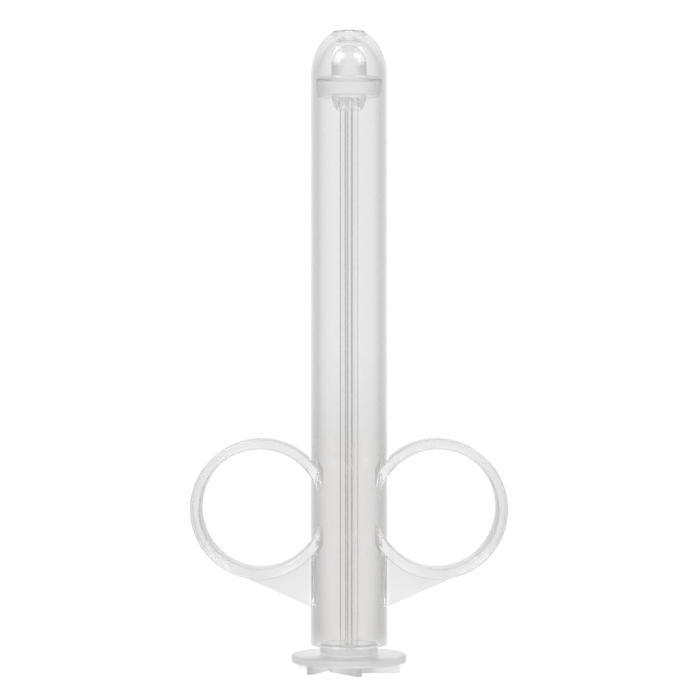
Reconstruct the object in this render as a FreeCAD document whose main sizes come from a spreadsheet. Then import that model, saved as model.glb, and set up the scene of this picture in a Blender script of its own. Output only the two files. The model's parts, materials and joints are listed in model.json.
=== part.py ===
import FreeCAD, Part
import os
import Sketcher
from FreeCAD import Vector

# A clear plunger applicator that stands on its thumb disc, tip up. Millimetres, +Z up along the
# barrel's axis, X through the two finger rings, origin at the middle of the foot.

DIMENSIONS = {
    # barrel: a straight tube, an elliptical dome on top of it and a lip round the outlet
    "barrel_radius": 8.0,
    "bore_radius": 7.0,
    "barrel_foot": 5.4,
    "barrel_edge": 0.35,
    "dome_base": 124.6,
    "dome_rise": 10.4,
    "dome_hollow_rise": 8.8,
    "dome_flat": 133.7,
    "outlet_radius": 1.5,
    "outlet_flare": 0.2,
    "lip_radius": 3.4,
    "lip_rise": 0.5,
    # finger rings and the gusset webs under them
    "ring_offset": 18.5,
    "ring_height": 34.1,
    "ring_bore": 12.5,
    "ring_radius": 14.6,
    "ring_depth": 10.0,
    "ring_edge": 0.5,
    "web_foot": 13.1,
    "web_thickness": 2.4,
    # piston: tail with the rod's socket, seal and nose, from the rod upwards
    "tail_foot": 117.7,
    "tail_radius": 3.6,
    "tail_drop": 3.9,
    "socket_radius": 2.05,
    "socket_top": 120.2,
    "seal_foot": 120.4,
    "seal_core": 6.7,
    "seal_lip_foot": 123.3,
    "seal_lip_top": 123.8,
    "seal_radius": 6.97,
    "nose_foot": 124.4,
    "nose_radius": 3.7,
    "nose_shoulder": 127.4,
    "nose_rise": 4.1,
    # rod: two crossed ribs, turned a little about the axis
    "rod_width": 3.8,
    "rod_rib": 1.15,
    "rod_turn": 10.5,
    # thumb disc, the guide boss above it, the hub and the swirl of fins below it
    "disc_foot": 1.8,
    "disc_top": 3.5,
    "disc_radius": 12.0,
    "disc_edge": 0.45,
    "boss_top": 5.9,
    "boss_radius": 6.05,
    "boss_bore": 4.9,
    "boss_edge": 0.3,
    "hub_radius": 4.3,
    "hub_bore": 3.1,
    "fin_tangent": 4.24,
    "fin_reach": 11.06,
    "fin_thickness": 1.22,
    "fin_heading": 4.4,
}
FIN_COUNT = 6
SIDES = {"left": -1, "right": 1}
SURFACE_TOLERANCE = 1e-6

document = FreeCAD.newDocument("plunger_applicator")
sheet = document.addObject("Spreadsheet::Sheet", "dims")
for row, (alias, value) in enumerate(DIMENSIONS.items(), start=1):
    sheet.set(f"A{row}", alias)
    sheet.set(f"B{row}", str(value))
    sheet.setAlias(f"B{row}", alias)
document.recompute()


def formula(text):
    """Puts the sheet's name before each dimension in a formula."""
    words = text.replace("(", "( ").replace(")", " )").split()
    return " ".join(f"dims.{word}" if word in DIMENSIONS else word for word in words)


def bind(thing, **formulas):
    """Binds properties to formulas; a double underscore in a name stands for a dot."""
    for name, text in formulas.items():
        thing.setExpression(name.replace("__", "."), formula(text))


def add(kind, name, **formulas):
    thing = document.addObject(kind, name)
    bind(thing, **formulas)
    return thing


def combine(kind, name, base, tool):
    """A boolean of two objects, such as a Part::Cut."""
    result = document.addObject(kind, name)
    result.Base = base
    result.Tool = tool
    return result


def new_body(name):
    return document.addObject("PartDesign::Body", name)


def new_sketch(body, plane_role):
    sketch = body.newObject("Sketcher::SketchObject", f"{body.Name}_sketch")
    plane = next(f for f in body.Origin.OriginFeatures if f.Role == plane_role)
    sketch.AttachmentSupport = [(plane, "")]
    sketch.MapMode = "FlatFace"
    return sketch


def add_circles(sketch, *aliases):
    """Circles about the sketch's origin, each radius bound to a dimension of the sheet."""
    for alias in aliases:
        circle = Part.Circle(Vector(0, 0, 0), Vector(0, 0, 1), DIMENSIONS[alias])
        index = sketch.addGeometry(circle, False)
        sketch.addConstraint(Sketcher.Constraint("Coincident", index, 3, -1, 1))
        number = sketch.addConstraint(Sketcher.Constraint("Radius", index, DIMENSIONS[alias]))
        sketch.renameConstraint(number, alias)
        bind(sketch, **{f"Constraints__{alias}": alias})


def pin_point(sketch, index, end, names):
    """Holds one point at named distances from the sketch's origin; None means on that axis."""
    for name, kind, axis in zip(names, ("DistanceX", "DistanceY"), (-2, -1)):
        if name is None:
            sketch.addConstraint(Sketcher.Constraint("PointOnObject", index, end, axis))
            continue
        number = sketch.addConstraint(
            Sketcher.Constraint(kind, -1, 1, index, end, DIMENSIONS[name])
        )
        label = f"{name}_{index}"
        sketch.renameConstraint(number, label)
        bind(sketch, **{f"Constraints__{label}": name})


def add_outline(sketch, corners):
    """A closed outline of straight edges through corners given as pairs of dimension names."""
    places = [
        Vector(*(0 if name is None else DIMENSIONS[name] for name in corner), 0)
        for corner in corners
    ]
    lines = [
        sketch.addGeometry(Part.LineSegment(start, end), False)
        for start, end in zip(places, places[1:] + places[:1])
    ]
    for line, following in zip(lines, lines[1:] + lines[:1]):
        sketch.addConstraint(Sketcher.Constraint("Coincident", line, 2, following, 1))
    for line, corner in zip(lines, corners):
        pin_point(sketch, line, 1, corner)


def rim_edges(feature, radius, height):
    """Names of the circular edges of a radius at a height, both dimensions of the sheet."""
    return [
        f"Edge{number}"
        for number, edge in enumerate(feature.Shape.Edges, start=1)
        if hasattr(edge.Curve, "Radius")
        and abs(edge.Curve.Radius - radius) < SURFACE_TOLERANCE
        and abs(edge.Curve.Center.z - height) < SURFACE_TOLERANCE
    ]


def dress(body, kind, base, edges, alias):
    """A fillet or chamfer on edges of a body, its size bound to a dimension."""
    feature = body.newObject(kind, f"{body.Name}_{alias}")
    feature.Base = (base, edges)
    bind(feature, **{"Radius" if kind.endswith("Fillet") else "Size": alias})
    document.recompute()
    return feature


def tube(name, outer, inner, foot, top):
    """A tube, or a disc when inner is None, between two heights. Returns its body and pad."""
    body = new_body(name)
    sketch = new_sketch(body, "XY_Plane")
    add_circles(sketch, *(alias for alias in (outer, inner) if alias is not None))
    pad = body.newObject("PartDesign::Pad", f"{name}_pad")
    pad.Profile = sketch
    rise = top if foot is None else f"{top} - {foot}"
    bind(pad, Length=rise)
    if foot is not None:
        bind(body, Placement__Base__z=foot)
    document.recompute()
    return body, pad


def turned(name, corners):
    """A solid of revolution about Z from an outline in the X-Z plane."""
    body = new_body(name)
    sketch = new_sketch(body, "XZ_Plane")
    add_outline(sketch, corners)
    spin = body.newObject("PartDesign::Revolution", f"{name}_revolution")
    spin.Profile = sketch
    spin.ReferenceAxis = (sketch, ["V_Axis"])
    spin.Angle = 360
    document.recompute()
    return body


def half_ellipsoid(name, radius, rise, centre, upper=True):
    """The upper or lower half of an ellipsoid about the barrel's axis."""
    half = add(
        "Part::Ellipsoid", name, Radius1=rise, Radius2=radius, Radius3=radius, Placement__Base__z=centre
    )
    half.Angle1, half.Angle2 = (0, 90) if upper else (-90, 0)
    return half


def turn_about_z(thing, angle):
    """Turns an object about the barrel's axis by a formula that gives degrees."""
    thing.Placement.Rotation = FreeCAD.Rotation(Vector(0, 0, 1), 1)
    bind(thing, Placement__Rotation__Angle=angle)


# Barrel


def make_barrel_tube():
    body, pad = tube("barrel_tube", "barrel_radius", "bore_radius", "barrel_foot", "dome_base")
    mouth = rim_edges(pad, DIMENSIONS["barrel_radius"], 0) + rim_edges(pad, DIMENSIONS["bore_radius"], 0)
    dress(body, "PartDesign::Fillet", pad, mouth, "barrel_edge")
    return body


def make_nose_dome():
    """The dome: one half ellipsoid less another, cut flat on top and pierced by the outlet."""
    skin = half_ellipsoid("dome_skin", "barrel_radius", "dome_rise", "dome_base")
    hollow = half_ellipsoid("dome_hollow", "bore_radius", "dome_hollow_rise", "dome_base")
    band = add(
        "Part::Cylinder",
        "dome_band",
        Radius="barrel_radius",
        Height="dome_flat - dome_base",
        Placement__Base__z="dome_base",
    )
    outlet = add(
        "Part::Cylinder",
        "dome_outlet",
        Radius="outlet_radius",
        Height="dome_rise",
        Placement__Base__z="dome_base",
    )
    shell = combine("Part::Cut", "dome_shell", skin, hollow)
    flat = combine("Part::Common", "dome_flattened", shell, band)
    return combine("Part::Cut", "nose_dome", flat, outlet)


def make_outlet_lip():
    body, pad = tube("outlet_lip", "lip_radius", "outlet_radius", None, "lip_rise")
    bind(body, Placement__Base__z="dome_flat")
    mouth = rim_edges(pad, DIMENSIONS["outlet_radius"], DIMENSIONS["lip_rise"])
    dress(body, "PartDesign::Chamfer", pad, mouth, "outlet_flare")
    return body


def barrel_core(name):
    """A cylinder as wide as the barrel, to cut its outside from what is moulded on to it."""
    return add("Part::Cylinder", name, Radius="barrel_radius", Height="dome_base")


def make_finger_ring(side):
    """A round band about a line along Y, cut off where it meets the barrel."""
    body = new_body(f"ring_band_{side}")
    sketch = new_sketch(body, "XZ_Plane")
    add_circles(sketch, "ring_radius", "ring_bore")
    pad = body.newObject("PartDesign::Pad", f"ring_pad_{side}")
    pad.Profile = sketch
    pad.Midplane = True
    bind(pad, Length="ring_depth")
    document.recompute()
    rims = [f"Edge{n}" for n, edge in enumerate(pad.Shape.Edges, start=1) if hasattr(edge.Curve, "Radius")]
    dress(body, "PartDesign::Fillet", pad, rims, "ring_edge")
    bind(body, Placement__Base__x=f"{SIDES[side]} * ring_offset", Placement__Base__z="ring_height")
    return combine("Part::Cut", f"finger_ring_{side}", body, barrel_core(f"ring_core_{side}"))


def make_ring_web(side):
    """A thin plate in the middle plane whose sloping lower edge is tangent to the ring."""
    body = new_body(f"web_plate_{side}")
    sketch = new_sketch(body, "XZ_Plane")
    centre = Vector(DIMENSIONS["ring_offset"], DIMENSIONS["ring_height"], 0)
    foot = Vector(DIMENSIONS["bore_radius"], DIMENSIONS["web_foot"], 0)
    touch = centre + Vector(0.4, -0.9, 0) * DIMENSIONS["ring_radius"]
    head = Vector(foot.x, centre.y, 0)
    places = [foot, touch, centre, head]
    slope, spoke, shelf, wall = [
        sketch.addGeometry(Part.LineSegment(start, end), False)
        for start, end in zip(places, places[1:] + places[:1])
    ]
    for line, following in ((slope, spoke), (spoke, shelf), (shelf, wall), (wall, slope)):
        sketch.addConstraint(Sketcher.Constraint("Coincident", line, 2, following, 1))
    pin_point(sketch, slope, 1, ("bore_radius", "web_foot"))
    pin_point(sketch, shelf, 1, ("ring_offset", "ring_height"))
    sketch.addConstraint(Sketcher.Constraint("Vertical", wall))
    sketch.addConstraint(Sketcher.Constraint("Horizontal", shelf))
    sketch.addConstraint(Sketcher.Constraint("Perpendicular", slope, spoke))
    number = sketch.addConstraint(Sketcher.Constraint("Distance", spoke, DIMENSIONS["ring_radius"]))
    sketch.renameConstraint(number, "spoke_length")
    bind(sketch, Constraints__spoke_length="ring_radius")
    pad = body.newObject("PartDesign::Pad", f"web_pad_{side}")
    pad.Profile = sketch
    pad.Midplane = True
    bind(pad, Length="web_thickness")
    if SIDES[side] < 0:
        body.Placement.Rotation = FreeCAD.Rotation(Vector(0, 0, 1), 180)
    ring_disc = add(
        "Part::Cylinder",
        f"web_ring_{side}",
        Radius="ring_radius",
        Height="ring_depth",
        Placement__Base__x=f"{SIDES[side]} * ring_offset",
        Placement__Base__y="ring_depth / 2",
        Placement__Base__z="ring_height",
    )
    ring_disc.Placement.Rotation = FreeCAD.Rotation(Vector(1, 0, 0), 90)
    clear_of_ring = combine("Part::Cut", f"web_trimmed_{side}", body, ring_disc)
    return combine("Part::Cut", f"ring_web_{side}", clear_of_ring, barrel_core(f"web_core_{side}"))


# Piston and rod


def make_piston_nose():
    """A bullet: a short cylinder with half an ellipsoid on top."""
    shank = add(
        "Part::Cylinder",
        "nose_shank",
        Radius="nose_radius",
        Height="nose_shoulder - nose_foot",
        Placement__Base__z="nose_foot",
    )
    cap = half_ellipsoid("nose_cap", "nose_radius", "nose_rise", "nose_shoulder")
    return combine("Part::Fuse", "piston_nose", shank, cap)


def make_piston_seal():
    """A plug that widens to the lip which wipes the bore."""
    corners = [
        (None, "seal_foot"),
        ("seal_core", "seal_foot"),
        ("seal_radius", "seal_lip_foot"),
        ("seal_radius", "seal_lip_top"),
        ("seal_core", "nose_foot"),
        (None, "nose_foot"),
    ]
    return turned("piston_seal", corners)


def make_piston_tail():
    """Half an ellipsoid hanging under the seal, cut flat, with a round socket for the rod's end."""
    bowl = half_ellipsoid("tail_bowl", "tail_radius", "tail_drop", "seal_foot", upper=False)
    band = add(
        "Part::Cylinder",
        "tail_band",
        Radius="tail_radius",
        Height="seal_foot - tail_foot",
        Placement__Base__z="tail_foot",
    )
    socket = add(
        "Part::Cylinder",
        "tail_socket",
        Radius="socket_radius",
        Height="socket_top - tail_foot",
        Placement__Base__z="tail_foot",
    )
    cut_flat = combine("Part::Common", "tail_cut_flat", bowl, band)
    return combine("Part::Cut", "piston_tail", cut_flat, socket)


def make_plunger_rod():
    """Two flat ribs crossed at right angles, from the thumb disc to the end of the socket."""
    sides = {"rod_rib_wide": ("rod_width", "rod_rib"), "rod_rib_deep": ("rod_rib", "rod_width")}
    ribs = [
        add(
            "Part::Box",
            name,
            Length=length,
            Width=width,
            Height="socket_top - disc_top",
            Placement__Base__x=f"0mm - {length} * 1mm / 2",
            Placement__Base__y=f"0mm - {width} * 1mm / 2",
        )
        for name, (length, width) in sides.items()
    ]
    rod = combine("Part::Fuse", "plunger_rod", *ribs)
    bind(rod, Placement__Base__z="disc_top")
    turn_about_z(rod, "rod_turn")
    return rod


# Thumb disc


def make_thumb_disc():
    body, pad = tube("thumb_disc", "disc_radius", None, "disc_foot", "disc_top")
    rims = [
        name
        for height in (0, DIMENSIONS["disc_top"] - DIMENSIONS["disc_foot"])
        for name in rim_edges(pad, DIMENSIONS["disc_radius"], height)
    ]
    dress(body, "PartDesign::Fillet", pad, rims, "disc_edge")
    return body


def make_guide_boss():
    body, pad = tube("guide_boss", "boss_radius", "boss_bore", "disc_top", "boss_top")
    head = rim_edges(pad, DIMENSIONS["boss_radius"], DIMENSIONS["boss_top"] - DIMENSIONS["disc_top"])
    dress(body, "PartDesign::Chamfer", pad, head, "boss_edge")
    return body


def make_thumb_hub():
    body, _ = tube("thumb_hub", "hub_radius", "hub_bore", None, "disc_foot")
    return body


def make_thumb_fin(number):
    """A straight rib that leaves the hub at a tangent, one of a swirl."""
    plate = add(
        "Part::Box",
        f"fin_plate_{number}",
        Length="sqrt( fin_reach ^ 2 - fin_tangent ^ 2 ) * 1mm",
        Width="fin_thickness",
        Height="disc_foot",
        Placement__Base__y="0mm - ( fin_tangent + fin_thickness / 2 ) * 1mm",
    )
    core = add("Part::Cylinder", f"fin_core_{number}", Radius="hub_radius", Height="disc_foot")
    fin = combine("Part::Cut", f"thumb_fin_{number}", plate, core)
    turn_about_z(fin, f"fin_heading + {360 / FIN_COUNT * (number - 1)}")
    return fin


def make_all():
    parts = [make_barrel_tube(), make_nose_dome(), make_outlet_lip()]
    parts += [make_finger_ring(side) for side in SIDES]
    parts += [make_ring_web(side) for side in SIDES]
    parts += [make_piston_nose(), make_piston_seal(), make_piston_tail(), make_plunger_rod()]
    parts += [make_thumb_disc(), make_guide_boss(), make_thumb_hub()]
    parts += [make_thumb_fin(number) for number in range(1, FIN_COUNT + 1)]
    return parts


def check(parts):
    """Stops at the first failed object or bad sub-part, before anything is written."""
    for thing in document.Objects:
        if {"Invalid", "Error"} & set(thing.State):
            raise RuntimeError(f"{thing.Name} failed: {thing.State}")
    for part in parts:
        shape = part.Shape
        if shape.isNull() or not shape.isValid() or len(shape.Solids) != 1:
            raise RuntimeError(f"{part.Label} has a bad shape")


def main():
    parts = make_all()
    document.recompute()
    check(parts)
    os.makedirs("parts", exist_ok=True)
    for part in parts:
        part.Shape.exportStep(f"parts/{part.Label}.step")
        box = part.Shape.optimalBoundingBox()
        print(f"{part.Label}: {part.Shape.Volume:.1f} mm3, z {box.ZMin:.2f} to {box.ZMax:.2f}")


main()
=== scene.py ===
import json
import math
import bmesh
import bpy
import numpy as np
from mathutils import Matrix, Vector


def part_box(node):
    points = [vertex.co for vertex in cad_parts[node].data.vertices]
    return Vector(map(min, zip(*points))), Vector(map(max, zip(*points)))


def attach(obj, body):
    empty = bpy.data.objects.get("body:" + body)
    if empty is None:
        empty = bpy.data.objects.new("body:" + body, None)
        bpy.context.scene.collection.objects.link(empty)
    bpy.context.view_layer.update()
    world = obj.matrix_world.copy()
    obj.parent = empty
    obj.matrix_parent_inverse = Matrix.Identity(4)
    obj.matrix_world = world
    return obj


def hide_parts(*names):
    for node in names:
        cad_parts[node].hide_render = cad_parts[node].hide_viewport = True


# A clear moulded plunger applicator: one barrel skin with its dome, finger rings and webs, one
# piston and one plunger. Sizes in the pieces' dictionaries are millimetres and angles are degrees;
# newObject makes the meshes in metres.

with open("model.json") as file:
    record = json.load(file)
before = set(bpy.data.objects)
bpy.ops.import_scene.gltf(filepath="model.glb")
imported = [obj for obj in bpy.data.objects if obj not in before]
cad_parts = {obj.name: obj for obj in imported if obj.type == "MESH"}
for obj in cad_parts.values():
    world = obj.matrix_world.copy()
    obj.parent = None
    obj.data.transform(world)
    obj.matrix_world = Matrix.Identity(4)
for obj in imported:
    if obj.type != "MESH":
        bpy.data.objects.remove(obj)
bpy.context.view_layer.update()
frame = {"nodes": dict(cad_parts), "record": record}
mm = 0.001
record = frame["record"]
slotOf = {row["node"]: row["material_slot"] for row in record["subparts"]}


def nodeBox(name):
    # lowest and highest corner of a frame node, in millimetres
    low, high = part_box(name)
    return np.array(low) / mm, np.array(high) / mm


tubeLow, tubeHigh = nodeBox("barrel_tube")
domeLow, domeHigh = nodeBox("nose_dome")
lipHigh = nodeBox("outlet_lip")[1]
ringLow, ringHigh = nodeBox("finger_ring_right")
webLow, webHigh = nodeBox("ring_web_right")
discLow, discHigh = nodeBox("thumb_disc")
bossHigh = nodeBox("guide_boss")[1]
hubLow, hubHigh = nodeBox("thumb_hub")
rodHigh = nodeBox("plunger_rod")[1]
tailLow, tailHigh = nodeBox("piston_tail")
sealLow, sealHigh = nodeBox("piston_seal")
noseHigh = nodeBox("piston_nose")[1]
ringOuter = (ringHigh[2] - ringLow[2]) / 2
ringX, ringZ = ringHigh[0] - ringOuter, (ringHigh[2] + ringLow[2]) / 2
print("frame loaded")

# edges that turn by more degrees than this are shaded sharp
sharpAngle = 32


def arc(centre, radii, start, end, steps):
    # points (r cos a, s sin a) about a centre, a in degrees: a circle, or an ellipse if radii differ
    a = np.radians(np.linspace(start, end, steps))
    return np.stack([centre[0] + radii[0] * np.cos(a), centre[1] + radii[1] * np.sin(a)], 1)


def roundCorners(corners, radii, steps=7):
    # closed outline of straight sides; each corner becomes a tangent arc of its own radius
    corners = np.asarray(corners, float)
    pieces = []
    neighbours = zip(np.roll(corners, 1, 0), corners, np.roll(corners, -1, 0), radii)
    for before, here, after, radius in neighbours:
        if radius <= 0:
            pieces.append(here[None])
            continue
        back = (before - here) / np.linalg.norm(before - here)
        ahead = (after - here) / np.linalg.norm(after - here)
        half = math.acos(np.clip(back @ ahead, -1, 1)) / 2
        middle = here + (back + ahead) / np.linalg.norm(back + ahead) * radius / math.sin(half)
        first = here + back * radius / math.tan(half) - middle
        last = here + ahead * radius / math.tan(half) - middle
        turn = np.linspace(0, 1, steps)[:, None]
        sweep = math.pi - 2 * half
        blend = (np.sin((1 - turn) * sweep) * first + np.sin(turn * sweep) * last) / math.sin(sweep)
        pieces.append(middle + blend)
    return np.concatenate(pieces)


def supported(outline, closed, edge=0.25, step=12.0):
    # adds points near both ends of each long straight side, and every step along it
    ends = np.roll(outline, -1, 0) if closed else outline[1:]
    starts = outline if closed else outline[:-1]
    pieces = []
    for a, b in zip(starts, ends):
        length = np.linalg.norm(b - a)
        stops = [0.0]
        if length > 4 * edge:
            stops += [edge / length, *np.arange(step, length - step, step) / length, 1 - edge / length]
        pieces.append(a + np.array(stops)[:, None] * (b - a))
    if not closed:
        pieces.append(outline[-1:])
    return np.concatenate(pieces)


def gridFaces(rows, columns, closedRows):
    # quads of a grid whose columns always close and whose rows may
    last = rows if closedRows else rows - 1
    i, j = np.meshgrid(np.arange(last), np.arange(columns), indexing="ij")
    k, m = (i + 1) % rows, (j + 1) % columns
    quads = [i * columns + j, i * columns + m, k * columns + m, k * columns + j]
    return np.stack(quads, -1).reshape(-1, 4)


def newObject(name, points, faces):
    mesh = bpy.data.meshes.new(name)
    mesh.from_pydata((np.asarray(points) * mm).tolist(), [], [list(map(int, f)) for f in faces])
    mesh.validate()
    made = bpy.data.objects.new(name, mesh)
    bpy.context.scene.collection.objects.link(made)
    return made


def spun(name, profile, segments=192, closed=True, poles=False):
    # profile (radius, height) turned about Z: x = r cos t, y = r sin t
    # with poles, the profile's two ends are on the axis
    t = np.linspace(0, 2 * math.pi, segments, endpoint=False)
    ring = profile[1:-1] if poles else profile
    r, z = ring[:, :1], np.repeat(ring[:, 1:], segments, 1)
    points = np.stack([r * np.cos(t), r * np.sin(t), z], -1).reshape(-1, 3)
    faces = gridFaces(len(ring), segments, closed and not poles).tolist()
    if poles:
        foot, top = len(points), len(points) + 1
        points = np.concatenate([points, [[0, 0, profile[0, 1]], [0, 0, profile[-1, 1]]]])
        j = np.arange(segments)
        m = (j + 1) % segments
        last = (len(ring) - 1) * segments
        faces += np.stack([np.full(segments, foot), m, j], 1).tolist()
        faces += np.stack([last + j, last + m, np.full(segments, top)], 1).tolist()
    return newObject(name, points, faces)


def turned(outline, degrees):
    # an outline turned about the origin
    a = math.radians(degrees)
    return outline @ np.array([[math.cos(a), math.sin(a)], [-math.sin(a), math.cos(a)]])


def prism(name, outline, low, high, axis="z"):
    # a closed outline carried in a straight line along Z, or along Y for an outline in X and Z
    levels = np.array([low, high], float)
    flat = np.repeat(outline[None], 2, 0)
    along = np.repeat(levels[:, None, None], len(outline), 1)
    if axis == "z":
        points = np.concatenate([flat, along], -1).reshape(-1, 3)
    else:
        points = np.concatenate([flat[..., :1], along, flat[..., 1:]], -1).reshape(-1, 3)
    count = len(outline)
    ends = [list(range(count))[::-1], list(range(count, 2 * count))]
    faces = gridFaces(2, count, False).tolist() + ends
    made = newObject(name, points, faces)
    outward(made)
    return made


def outward(piece):
    # makes every face of a closed mesh point away from its inside
    work = bmesh.new()
    work.from_mesh(piece.data)
    bmesh.ops.recalc_face_normals(work, faces=work.faces)
    work.to_mesh(piece.data)
    work.free()


def applied(piece):
    # replaces a piece's mesh by what its modifiers make of it
    shown = piece.evaluated_get(bpy.context.evaluated_depsgraph_get())
    mesh = bpy.data.meshes.new_from_object(shown)
    piece.modifiers.clear()
    piece.data = mesh
    return piece


def combined(piece, other, operation):
    # exact boolean of two closed meshes; the second one is used up
    step = piece.modifiers.new("join", "BOOLEAN")
    step.solver = "EXACT"
    step.operation = operation
    step.object = other
    applied(piece)
    bpy.data.objects.remove(other)
    return piece


def joined(name, parts):
    # one object of several closed meshes that don't meet
    work = bmesh.new()
    for part in parts:
        work.from_mesh(part.data)
        bpy.data.objects.remove(part)
    made = newObject(name, np.empty((0, 3)), [])
    work.to_mesh(made.data)
    work.free()
    return made


def cornerNormals(piece, rules):
    # smooth shading with sharp edges by angle, then exact normals on each surface that rules know:
    # a rule takes corner places and flat face normals and gives a mask and the true normals
    mesh = piece.data
    mesh.polygons.foreach_set("use_smooth", np.ones(len(mesh.polygons), bool))
    mesh.set_sharp_from_angle(angle=math.radians(sharpAngle))
    count = len(mesh.loops)
    normals, vertex = np.empty(count * 3), np.empty(count, np.int32)
    mesh.corner_normals.foreach_get("vector", normals)
    mesh.loops.foreach_get("vertex_index", vertex)
    places = np.empty(len(mesh.vertices) * 3)
    mesh.vertices.foreach_get("co", places)
    places = places.reshape(-1, 3)[vertex] / mm
    flat, sizes = np.empty(len(mesh.polygons) * 3), np.empty(len(mesh.polygons), np.int32)
    mesh.polygons.foreach_get("normal", flat)
    mesh.polygons.foreach_get("loop_total", sizes)
    flat = np.repeat(flat.reshape(-1, 3), sizes, 0)
    normals = normals.reshape(-1, 3)
    for rule in rules:
        mask, exact = rule(places, flat)
        normals[mask] = exact[mask]
    mesh.normals_split_custom_set(normals.tolist())


def aroundLine(centre, axes, radius, span=None, near=2e-3, alike=0.985):
    # rule for a round wall about a line: the normal is the way from the line, with the face's sign
    def rule(places, flat):
        away = np.zeros_like(places)
        for axis, middle in zip(axes, centre):
            away[:, axis] = places[:, axis] - middle
        distance = np.linalg.norm(away, axis=1)
        away /= np.maximum(distance, 1e-9)[:, None]
        facing = np.sum(away * flat, 1)
        mask = (np.abs(distance - radius) < near) & (np.abs(facing) > alike)
        if span is not None:
            mask &= (places[:, 2] > span[0]) & (places[:, 2] < span[1])
        return mask, away * np.sign(facing)[:, None]
    return rule


def aroundCircle(centre, big, level, small, near=6e-3, alike=0.95):
    # rule for a round along a ring's edge: the normal is the way from the circle in its middle
    def rule(places, flat):
        x, z = places[:, 0] - centre[0], places[:, 2] - centre[1]
        reach = np.maximum(np.hypot(x, z), 1e-9)
        out, aside = reach - big, places[:, 1] - level
        distance = np.maximum(np.hypot(out, aside), 1e-9)
        away = np.stack([x / reach * out, aside, z / reach * out], 1) / distance[:, None]
        facing = np.sum(away * flat, 1)
        mask = (np.abs(distance - small) < near) & (np.abs(facing) > alike)
        return mask, away * np.sign(facing)[:, None]
    return rule


# the barrel: tube, dome, lip, rings and webs as one skin
barrel = {
    "radius": tubeHigh[0],
    "bore": 7.0,
    "footRound": 0.35,
    "domeRise": 10.4,
    "hollowRise": 8.8,
    "outlet": 1.5,
    "flare": 0.2,
    "lipRound": 0.15,
    "ringBore": 12.5,
    "ringRound": 0.5,
    "webRound": 0.35,
    "webSteps": 4,
    "webOverlap": 4,
    "coreTop": 100,
    "tubeSides": 256,
    "ringSides": 180,
}
wallMiddle = (barrel["radius"] + barrel["bore"]) / 2


def barrelProfile():
    # up the outside, over the elliptical dome and the lip, down the outlet and back down the bore
    b = barrel
    foot, base = tubeLow[2], domeLow[2]
    flat, top = domeHigh[2], lipHigh[2]
    lip = lipHigh[0]
    domeEnd = math.degrees(math.asin((flat - base) / b["domeRise"]))
    hollowEnd = math.degrees(math.acos(b["outlet"] / b["bore"]))
    f = b["footRound"]
    path = [
        arc((b["radius"] - f, foot + f), (f, f), -90, 0, 8),
        arc((0, base), (b["radius"], b["domeRise"]), 0, domeEnd, 40),
        [[lip, flat], [lip, top - b["lipRound"]]],
        arc((lip - b["lipRound"], top - b["lipRound"]), (b["lipRound"],) * 2, 15, 90, 5),
        [[b["outlet"] + b["flare"], top], [b["outlet"], top - b["flare"]]],
        arc((0, base), (b["bore"], b["hollowRise"]), hollowEnd, 0, 40),
        arc((b["bore"] + f, foot + f), (f, f), 180, 270, 8),
    ]
    return supported(np.concatenate([np.asarray(p, float) for p in path]), True)


def ringMesh(side):
    # a band: a rounded rectangle (distance from the ring's line, place along Y) carried round a circle
    bore, half = barrel["ringBore"], ringHigh[1]
    corners = [(bore, -half), (ringOuter, -half), (ringOuter, half), (bore, half)]
    section = supported(roundCorners(corners, [barrel["ringRound"]] * 4), True, 0.2, 4.0)
    # x = cx + r cos t, z = cz + r sin t, with y across the band
    t = np.linspace(0, 2 * math.pi, barrel["ringSides"], endpoint=False)
    r, y = section[:, :1], np.repeat(section[:, 1:], len(t), 1)
    points = np.stack([side * ringX + r * np.cos(t), y, ringZ + r * np.sin(t)], -1).reshape(-1, 3)
    ring = newObject("ringBlank", points, gridFaces(len(section), len(t), True))
    outward(ring)
    # the ring ends in the middle of the barrel's wall
    top = barrel["coreTop"]
    outline = np.array([[0, 0], [wallMiddle, 0], [wallMiddle, top], [0, top]], float)
    core = spun("ringCore", outline, barrel["ringSides"], poles=True)
    outward(core)
    return combined(ring, core, "DIFFERENCE")


def webMesh(side):
    # a plate in the middle plane: from inside the barrel's wall along a line tangent to the ring,
    # then back inside the ring's band
    centre = np.array([ringX, ringZ])
    foot = np.array([barrel["radius"], webLow[2]])
    gap = centre - foot
    reach = np.linalg.norm(gap)
    slope = math.atan2(gap[1], gap[0]) - math.asin(ringOuter / reach)
    along = np.array([math.cos(slope), math.sin(slope)])
    touch = foot + along * math.sqrt(reach**2 - ringOuter**2)
    start = foot + along * (wallMiddle - foot[0]) / along[0]
    middle = (ringOuter + barrel["ringBore"]) / 2
    first = math.degrees(math.atan2(touch[1] - centre[1], touch[0] - centre[0]))
    last = -180 + math.degrees(math.acos((ringX - wallMiddle) / middle))
    band = arc(centre, (middle, middle), first + barrel["webOverlap"], last, 24)
    outline = np.concatenate([[start], [touch], band])
    outline[:, 0] *= side
    half = webHigh[1]
    web = prism("webBlank", outline, -half, half, axis="y")
    bevel = web.modifiers.new("edge", "BEVEL")
    bevel.width = barrel["webRound"] * mm
    bevel.segments = barrel["webSteps"]
    bevel.limit_method = "ANGLE"
    return applied(web)


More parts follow.
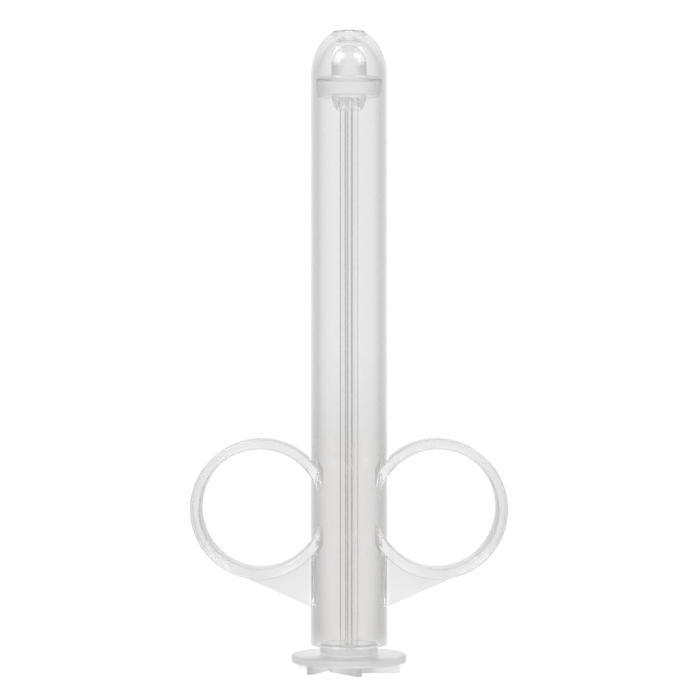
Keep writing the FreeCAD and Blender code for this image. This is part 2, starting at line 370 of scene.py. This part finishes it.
def makeBarrel():
    skin = spun("barrelMoulding", barrelProfile(), barrel["tubeSides"])
    outward(skin)
    for side in (-1, 1):
        combined(skin, ringMesh(side), "UNION")
        combined(skin, webMesh(side), "UNION")
    b, slack = barrel, 0.01
    span = (tubeLow[2] + b["footRound"] - slack, domeLow[2] + slack)
    rules = [aroundLine((0, 0), (0, 1), r, span) for r in (b["radius"], b["bore"])]
    f, level = b["ringRound"], ringHigh[1] - b["ringRound"]
    for side in (-1, 1):
        centre = (side * ringX, ringZ)
        rules += [aroundLine(centre, (0, 2), r) for r in (ringOuter, b["ringBore"])]
        for big in (ringOuter - f, b["ringBore"] + f):
            rules += [aroundCircle(centre, big, y, f) for y in (-level, level)]
    cornerNormals(skin, rules)
    return skin


# the piston: nose, seal and tail in one turned shape
piston = {
    "tailDrop": 3.9,
    "socket": 2.05,
    "socketTop": rodHigh[2],
    "sealCore": 6.7,
    "lipFoot": 123.3,
    "lipTop": 123.8,
    "noseShoulder": 127.4,
    "crease": 0.25,
    "footRound": 0.7,
    "lipRound": 0.2,
    "lead": 1.0,
    "shankStart": 0.3,
}


def pistonProfile():
    # from the axis at the socket's end, down the socket, up the bowl, out and back along the seal,
    # and up the nose to the axis
    p = piston
    tail, nose, seal = tailHigh[0], noseHigh[0], sealHigh[0]
    bowl, base, shoulder, apex = tailLow[2], sealLow[2], p["noseShoulder"], noseHigh[2]
    bowlStart = -math.degrees(math.asin((base - bowl) / p["tailDrop"]))
    under = arc((0, base), (tail, p["tailDrop"]), bowlStart, 0, 24)
    # radius, height and rounding; the first and last rows only give the way in and out
    corners = np.array([
        (tail, base - p["lead"], 0),
        (tail, base, p["crease"]),
        (p["sealCore"], base, p["footRound"]),
        (seal, p["lipFoot"], p["lipRound"]),
        (seal, p["lipTop"], p["lipRound"]),
        (p["sealCore"], sealHigh[2], p["crease"]),
        (nose, sealHigh[2], p["crease"]),
        (nose, sealHigh[2] + p["lead"], 0),
    ])
    flange = roundCorners(corners[:, :2], corners[:, 2])[1:-1]
    cap = arc((0, shoulder), (nose, apex - shoulder), 0, 90, 32)
    cap[-1, 0] = 0
    socket = [[0, p["socketTop"]], [p["socket"], p["socketTop"]], [p["socket"], bowl]]
    path = np.concatenate([socket, under[:-1], flange, cap])
    return supported(path, False, 0.2)


def makePiston():
    body = spun("pistonMoulding", pistonProfile(), 192, poles=True)
    outward(body)
    shank = (sealHigh[2] + piston["shankStart"], piston["noseShoulder"])
    cornerNormals(body, [aroundLine((0, 0), (0, 1), noseHigh[0], shank)])
    return body


# the plunger: rod, boss, thumb disc, hub and fins in one skin
plunger = {
    "rib": 1.15,
    "ribWidth": 3.8,
    "ribTurn": 10.5,
    "ribRound": 0.16,
    "bossBore": 4.9,
    "bossChamfer": 0.3,
    "discRound": 0.45,
    "hubBore": 3.1,
    "finTangent": 4.24,
    "finReach": 11.06,
    "finThick": 1.22,
    "finHeading": 4.4,
    "finRound": 0.2,
    "fins": 6,
    "finStart": 0.05,
    "finEdge": 0.12,
    "finSteps": 3,
    "finEdgeAngle": 50,
    "middle": 0.5,
    "innerRound": 0.2,
    "hubRound": 0.15,
    "bossRound": 0.05,
    "boreRound": 0.3,
    "boreTopRound": 0.1,
    "sunk": 0.5,
    "rodGap": 0.02,
    "wallStart": 0.25,
    "wallEnd": 0.35,
}


def discProfile():
    # from the axis under the disc, round the hub, the disc's rim and the boss, back to the axis
    p = plunger
    low, high, wide = discLow[2], discHigh[2], discHigh[0]
    hub, boss, top, c = hubHigh[0], bossHigh[0], bossHigh[2], p["bossChamfer"]
    # radius, height and rounding
    corners = np.array([
        (p["middle"], low, 0),
        (p["hubBore"], low, p["innerRound"]),
        (p["hubBore"], hubLow[2], p["hubRound"]),
        (hub, hubLow[2], p["hubRound"]),
        (hub, low, p["innerRound"]),
        (wide, low, p["discRound"]),
        (wide, high, p["discRound"]),
        (boss, high, p["innerRound"]),
        (boss, top - c, p["bossRound"]),
        (boss - c, top, p["bossRound"]),
        (p["bossBore"], top, p["boreTopRound"]),
        (p["bossBore"], high, p["boreRound"]),
        (p["middle"], high, 0),
    ])
    path = supported(roundCorners(corners[:, :2], corners[:, 2]), False, 0.2)
    return np.concatenate([[[0, low]], path, [[0, high]]])


def crossOutline():
    # two crossed bars of equal size, corners rounded, turned about the axis
    w, r = plunger["ribWidth"] / 2, plunger["rib"] / 2
    quarters = [np.array([(w, -r), (w, r), (r, r)])]
    for _ in range(3):
        x, y = quarters[-1].T
        quarters.append(np.stack([-y, x], 1))
    corners = np.concatenate(quarters)
    section = roundCorners(corners, [plunger["ribRound"]] * len(corners), 5)
    return turned(section, plunger["ribTurn"])


def finMesh(number):
    # a straight bar that starts at the hub's tangent point and runs outwards
    p = plunger
    length = math.sqrt(p["finReach"] ** 2 - p["finTangent"] ** 2)
    near, far = -p["finTangent"] - p["finThick"] / 2, -p["finTangent"] + p["finThick"] / 2
    start = p["finStart"]
    corners = np.array([(start, near), (length, near), (length, far), (start, far)])
    outline = roundCorners(corners, [0, p["finRound"], p["finRound"], 0], 4)
    outline = turned(outline, p["finHeading"] + 360 / p["fins"] * number)
    fin = prism("finBlank", outline, hubLow[2], discLow[2] + p["sunk"])
    bevel = fin.modifiers.new("edge", "BEVEL")
    bevel.width = p["finEdge"] * mm
    bevel.segments = p["finSteps"]
    bevel.limit_method = "ANGLE"
    bevel.angle_limit = math.radians(p["finEdgeAngle"])
    return applied(fin)


def makePlunger():
    skin = spun("plungerMoulding", discProfile(), 192, poles=True)
    outward(skin)
    foot, end = discHigh[2] - plunger["sunk"], rodHigh[2] - plunger["rodGap"]
    rod = prism("rodBlank", crossOutline(), foot, end)
    others = joined("rodAndFins", [rod] + [finMesh(n) for n in range(plunger["fins"])])
    combined(skin, others, "UNION")
    wall = (discHigh[2] + plunger["wallStart"], bossHigh[2] - plunger["wallEnd"])
    cornerNormals(skin, [aroundLine((0, 0), (0, 1), bossHigh[0], wall)])
    return skin


# how each plastic looks; wave is the strength of the flow lines
finish = {
    # satin: axis, distance from the origin along it in mm where the satin starts and is full,
    # and the roughness it adds
    "barrel_plastic": {
        "tint": (0.91, 0.91, 0.91), "rough": 0.02, "ior": 1.49, "wave": 0.1, "coat": 0.0,
        "satin": [("X", 8.05, 8.6, 0.3), ("Z", 133.2, 133.7, 0.05)],
    },
    "piston_plastic": {
        "tint": (0.985, 0.985, 0.985), "rough": 0.03, "ior": 1.2, "wave": 0.1, "coat": 1.0,
        "satin": [],
    },
    "plunger_plastic": {
        "tint": (0.985, 0.985, 0.985), "rough": 0.03, "ior": 1.43, "wave": 0.1, "coat": 0.0,
        "satin": [("Z", 6.2, 5.9, 0.26)],
    },
}
# what all three share
moulding = {
    "flow": 1.0,
    "flowScale": 220.0,
    "flowDetail": 2.0,
    "flowStretch": 0.08,
    "flowDepth": 0.02,
    "haze": 0.03,
    "hazeScale": 90.0,
    "hazeDetail": 4.0,
    "hazeFrom": 0.45,
    "hazeTo": 0.75,
    "shade": 0.5,
    "shadeTo": 0.985,
}


def link(tree, source, target):
    tree.links.new(source, target)


def mathNode(tree, operation, *values):
    # each value is a number, or a socket to link from
    node = tree.nodes.new("ShaderNodeMath")
    node.operation = operation
    for target, value in zip(node.inputs, values):
        if isinstance(value, bpy.types.NodeSocket):
            link(tree, value, target)
        else:
            target.default_value = value
    return node.outputs[0]


def rangeNode(tree, value, start, end, low=0.0, high=1.0, smooth=False):
    # carries a value from start..end to low..high; each end is a number, or a socket to link from
    node = tree.nodes.new("ShaderNodeMapRange")
    node.interpolation_type = "SMOOTHSTEP" if smooth else "LINEAR"
    link(tree, value, node.inputs["Value"])
    for name, number in (("From Min", start), ("From Max", end), ("To Min", low), ("To Max", high)):
        if isinstance(number, bpy.types.NodeSocket):
            link(tree, number, node.inputs[name])
        else:
            node.inputs[name].default_value = number
    return node.outputs["Result"]


def noiseNode(tree, vector, scale, detail):
    node = tree.nodes.new("ShaderNodeTexNoise")
    node.inputs["Scale"].default_value = scale
    node.inputs["Detail"].default_value = detail
    link(tree, vector, node.inputs["Vector"])
    return node.outputs["Fac"]


def newGroup(name, inputs, outputs):
    # an empty shader group; inputs and outputs are pairs of a name and a kind of socket
    group = bpy.data.node_groups.new(name, "ShaderNodeTree")
    for way, sockets in (("INPUT", inputs), ("OUTPUT", outputs)):
        for label, kind in sockets:
            group.interface.new_socket(name=label, in_out=way, socket_type="NodeSocket" + kind)
    entry, leave = group.nodes.new("NodeGroupInput"), group.nodes.new("NodeGroupOutput")
    return group, entry.outputs, leave.inputs


def mouldingGroup():
    # clear plastic as it leaves the tool: flow lines along Z, soft haze and a slightly uneven tint
    m = moulding
    takes = [("Vector", "Vector"), ("Base Roughness", "Float"), ("Haze", "Float")]
    takes += [("Flow", "Float"), ("Tint", "Color")]
    gives = [("Color", "Color"), ("Roughness", "Float"), ("Height", "Float")]
    group, given, result = newGroup("mouldedClearPlastic", takes, gives)
    stretch = group.nodes.new("ShaderNodeMapping")
    stretch.inputs["Scale"].default_value = (1.0, 1.0, m["flowStretch"])
    link(group, given["Vector"], stretch.inputs["Vector"])
    flow = noiseNode(group, stretch.outputs["Vector"], m["flowScale"], m["flowDetail"])
    haze = noiseNode(group, given["Vector"], m["hazeScale"], m["hazeDetail"])
    lift = rangeNode(group, haze, m["hazeFrom"], m["hazeTo"])
    rough = mathNode(group, "MULTIPLY_ADD", lift, given["Haze"], given["Base Roughness"])
    link(group, rough, result["Roughness"])
    link(group, mathNode(group, "MULTIPLY", flow, given["Flow"]), result["Height"])
    shade = group.nodes.new("ShaderNodeMix")
    shade.data_type = "RGBA"
    shade.blend_type = "MULTIPLY"
    shade.inputs["Factor"].default_value = m["shade"]
    link(group, given["Tint"], shade.inputs[6])
    link(group, rangeNode(group, haze, 0.0, 1.0, 1.0, m["shadeTo"]), shade.inputs[7])
    link(group, shade.outputs[2], result["Color"])
    return group


def satinGroup():
    # roughness that rises from Base by Added as the distance, either way, goes from Start to Full
    takes = [(name, "Float") for name in ("Distance", "Start", "Full", "Added", "Base")]
    group, given, result = newGroup("satinByPlace", takes, [("Roughness", "Float")])
    size = mathNode(group, "ABSOLUTE", given["Distance"])
    rise = rangeNode(group, size, given["Start"], given["Full"], 0.0, given["Added"])
    link(group, mathNode(group, "ADD", rise, given["Base"]), result["Roughness"])
    return group


def clearPlastic(name, moulded, satin):
    f = finish[name]
    material = bpy.data.materials.new(name)
    material.use_nodes = True
    tree = material.node_tree
    shader = tree.nodes["Principled BSDF"]
    shader.inputs["Transmission Weight"].default_value = 1.0
    shader.inputs["IOR"].default_value = f["ior"]
    shader.inputs["Coat Weight"].default_value = f["coat"]
    place = tree.nodes.new("ShaderNodeTexCoord")
    effect = tree.nodes.new("ShaderNodeGroup")
    effect.node_tree = moulded
    link(tree, place.outputs["Object"], effect.inputs["Vector"])
    effect.inputs["Base Roughness"].default_value = f["rough"]
    effect.inputs["Haze"].default_value = moulding["haze"]
    effect.inputs["Flow"].default_value = moulding["flow"]
    effect.inputs["Tint"].default_value = (*f["tint"], 1)
    if f["satin"]:
        split = tree.nodes.new("ShaderNodeSeparateXYZ")
        link(tree, place.outputs["Object"], split.inputs[0])
        last = None
        for axis, start, full, added in f["satin"]:
            rougher = tree.nodes.new("ShaderNodeGroup")
            rougher.node_tree = satin
            link(tree, split.outputs[axis], rougher.inputs["Distance"])
            rougher.inputs["Start"].default_value = start * mm
            rougher.inputs["Full"].default_value = full * mm
            rougher.inputs["Added"].default_value = added
            rougher.inputs["Base"].default_value = f["rough"]
            if last:
                link(tree, last, rougher.inputs["Base"])
            last = rougher.outputs["Roughness"]
        link(tree, last, effect.inputs["Base Roughness"])
    bump = tree.nodes.new("ShaderNodeBump")
    bump.inputs["Strength"].default_value = f["wave"]
    bump.inputs["Distance"].default_value = moulding["flowDepth"] * mm
    link(tree, effect.outputs["Color"], shader.inputs["Base Color"])
    link(tree, effect.outputs["Roughness"], shader.inputs["Roughness"])
    link(tree, effect.outputs["Height"], bump.inputs["Height"])
    link(tree, bump.outputs["Normal"], shader.inputs["Normal"])
    return material


# the floor, the white surround, the lights and the camera, in metres; lens and sensor in mm
studio = {
    "floorSize": 3.0,
    "floorDrop": 0.00005,
    "floorCells": 8,
    "floorColour": (1.0, 0.988, 0.983),
    "floorShare": 0.92,
    "backdrop": 1.02,
    "gain": 1.06,
    # brightness of the surround by the angle in degrees from straight behind the object
    "glow": [
        (0, 1.0), (5, 0.98), (9, 0.91), (14, 0.79), (20, 0.72), (30, 0.69), (45, 0.66), (60, 0.55),
        (90, 0.48), (180, 0.5),
    ],
    # brightness overhead, and the rise (0 level, 1 straight up) over which it takes over
    "overhead": 0.85,
    "overheadFrom": 0.17,
    "overheadTo": 0.7,
    # the sky dims to the floor's share from the horizon down to this rise
    "dimFrom": -0.035,
    # brightness of the floor near the object, and how far out it gives way to the glow
    "nearGlow": 1.0,
    "nearFrom": 0.015,
    "nearTo": 0.09,
    # name, place and power in watts
    "softboxes": [("softLeft", (-0.375, -0.38, 0.58), 1.5), ("softRight", (0.375, -0.38, 0.58), 1.2)],
    "softboxSize": (0.3, 0.38),
    "softboxAim": 0.125,
    "eyeHeight": 0.0673,
    "eyeDistance": 0.5355,
    "eyeOffset": 0.00021,
    "nearClip": 0.01,
    "farClip": 20,
    "lens": 131.14,
    "sensor": 36.0,
}


def glowGroup():
    # brightness in a direction: a ramp over the angle round Z, with a steady light overhead
    group, given, result = newGroup("studioGlow", [("Direction", "Vector")], [("Glow", "Float")])
    unit = group.nodes.new("ShaderNodeVectorMath")
    unit.operation = "NORMALIZE"
    link(group, given["Direction"], unit.inputs[0])
    split = group.nodes.new("ShaderNodeSeparateXYZ")
    link(group, unit.outputs["Vector"], split.inputs[0])
    angle = mathNode(group, "ARCTAN2", split.outputs["X"], split.outputs["Y"])
    share = mathNode(group, "DIVIDE", mathNode(group, "ABSOLUTE", angle), math.pi)
    ramp = group.nodes.new("ShaderNodeValToRGB")
    stops = ramp.color_ramp.elements
    for number, (degrees, value) in enumerate(studio["glow"]):
        stop = stops[number] if number < 2 else stops.new(degrees / 180)
        stop.position = degrees / 180
        stop.color = (value, value, value, 1)
    link(group, share, ramp.inputs["Fac"])
    s = studio
    rise = rangeNode(group, split.outputs["Z"], s["overheadFrom"], s["overheadTo"], smooth=True)
    mix = group.nodes.new("ShaderNodeMix")
    link(group, rise, mix.inputs[0])
    link(group, ramp.outputs["Color"], mix.inputs[2])
    mix.inputs[3].default_value = s["overhead"]
    link(group, mathNode(group, "MULTIPLY", mix.outputs[0], s["gain"]), result["Glow"])
    return group


def glowNode(tree, glow, direction):
    effect = tree.nodes.new("ShaderNodeGroup")
    effect.node_tree = glow
    link(tree, direction, effect.inputs["Direction"])
    return effect.outputs["Glow"]


def whiteToCamera(tree, glow):
    # an even white where the camera looks, and the studio's glow for all other light
    path = tree.nodes.new("ShaderNodeLightPath")
    mix = tree.nodes.new("ShaderNodeMix")
    link(tree, path.outputs["Is Camera Ray"], mix.inputs[0])
    link(tree, glow, mix.inputs[2])
    mix.inputs[3].default_value = studio["backdrop"]
    return mix.outputs[0]


def makeFloor(glow):
    s = studio
    half, cells = s["floorSize"] / 2 / mm, s["floorCells"]
    x, y = np.meshgrid(*[np.linspace(-half, half, cells + 1)] * 2)
    points = np.stack([x, y, np.full_like(x, -s["floorDrop"] / mm)], -1).reshape(-1, 3)
    i, j = np.meshgrid(np.arange(cells), np.arange(cells), indexing="ij")
    first, row = i * (cells + 1) + j, cells + 1
    faces = np.stack([first, first + 1, first + row + 1, first + row], -1).reshape(-1, 4)
    floor = newObject("paleFloor", points, faces)
    material = bpy.data.materials.new("paleFloor")
    material.use_nodes = True
    tree = material.node_tree
    shader = tree.nodes["Principled BSDF"]
    shader.inputs["Base Color"].default_value = (0.0, 0.0, 0.0, 1)
    shader.inputs["Roughness"].default_value = 0.9
    shader.inputs["Specular IOR Level"].default_value = 0.0
    shader.inputs["Emission Color"].default_value = (*s["floorColour"], 1)
    # the floor shines with the glow, and with an even light close to the object
    place = tree.nodes.new("ShaderNodeTexCoord").outputs["Object"]
    reach = tree.nodes.new("ShaderNodeVectorMath")
    reach.operation = "LENGTH"
    link(tree, place, reach.inputs[0])
    near = rangeNode(tree, reach.outputs["Value"], s["nearFrom"], s["nearTo"], smooth=True)
    even = tree.nodes.new("ShaderNodeMix")
    even.inputs[2].default_value = s["nearGlow"]
    link(tree, near, even.inputs[0])
    link(tree, glowNode(tree, glow, place), even.inputs[3])
    dim = mathNode(tree, "MULTIPLY", even.outputs[0], s["floorShare"])
    link(tree, whiteToCamera(tree, dim), shader.inputs["Emission Strength"])
    # the camera looks through it to the white behind, so a plunger pulled out below still shows
    path = tree.nodes.new("ShaderNodeLightPath")
    clear = tree.nodes.new("ShaderNodeBsdfTransparent")
    mix = tree.nodes.new("ShaderNodeMixShader")
    link(tree, path.outputs["Is Camera Ray"], mix.inputs[0])
    link(tree, shader.outputs[0], mix.inputs[1])
    link(tree, clear.outputs[0], mix.inputs[2])
    link(tree, mix.outputs[0], tree.nodes["Material Output"].inputs["Surface"])
    floor.data.materials.append(material)


def makeSky(glow):
    world = bpy.data.worlds.new("studio")
    bpy.context.scene.world = world
    world.use_nodes = True
    tree = world.node_tree
    # the sky is as dim as the floor where the two meet, and full at the horizon
    place = tree.nodes.new("ShaderNodeTexCoord").outputs["Generated"]
    split = tree.nodes.new("ShaderNodeSeparateXYZ")
    link(tree, place, split.inputs[0])
    level = rangeNode(tree, split.outputs["Z"], studio["dimFrom"], 0.0, studio["floorShare"])
    dim = mathNode(tree, "MULTIPLY", glowNode(tree, glow, place), level)
    back = tree.nodes["Background"]
    back.inputs["Color"].default_value = (1, 1, 1, 1)
    link(tree, whiteToCamera(tree, dim), back.inputs["Strength"])


def makeLights():
    for name, place, power in studio["softboxes"]:
        light = bpy.data.lights.new(name, "AREA")
        light.shape = "RECTANGLE"
        light.size, light.size_y = studio["softboxSize"]
        light.energy = power
        lamp = bpy.data.objects.new(name, light)
        lamp.location = place
        aim = Vector((0, 0, studio["softboxAim"])) - lamp.location
        lamp.rotation_mode = "QUATERNION"
        lamp.rotation_quaternion = aim.to_track_quat("-Z", "Y")
        bpy.context.scene.collection.objects.link(lamp)


def makeCamera():
    s = studio
    data = bpy.data.cameras.new("camera")
    data.lens, data.sensor_width = s["lens"], s["sensor"]
    data.clip_start, data.clip_end = s["nearClip"], s["farClip"]
    camera = bpy.data.objects.new("camera", data)
    camera.location = (s["eyeOffset"], -s["eyeDistance"], s["eyeHeight"])
    camera.rotation_euler = (math.pi / 2, 0, 0)
    bpy.context.scene.collection.objects.link(camera)
    bpy.context.scene.camera = camera


scene = bpy.context.scene
scene.view_settings.view_transform = "Standard"
# light that is caught inside the walls travels far before it comes out
scene.cycles.max_bounces = 256
scene.cycles.transmission_bounces = 64
scene.cycles.glossy_bounces = 256

moulded, satin = mouldingGroup(), satinGroup()
pieces = {
    "barrel": (makeBarrel, "barrel_plastic"),
    "piston": (makePiston, "piston_plastic"),
    "plunger": (makePlunger, "plunger_plastic"),
}
for body, (make, slot) in pieces.items():
    piece = make()
    piece.data.materials.append(clearPlastic(slot, moulded, satin))
    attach(piece, body)
    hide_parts(*(node for node in frame["nodes"] if slotOf[node] == slot))
    print("made", piece.name, len(piece.data.polygons), "faces")

glow = glowGroup()
makeFloor(glow)
makeSky(glow)
makeLights()
makeCamera()
print("stage and camera ready")
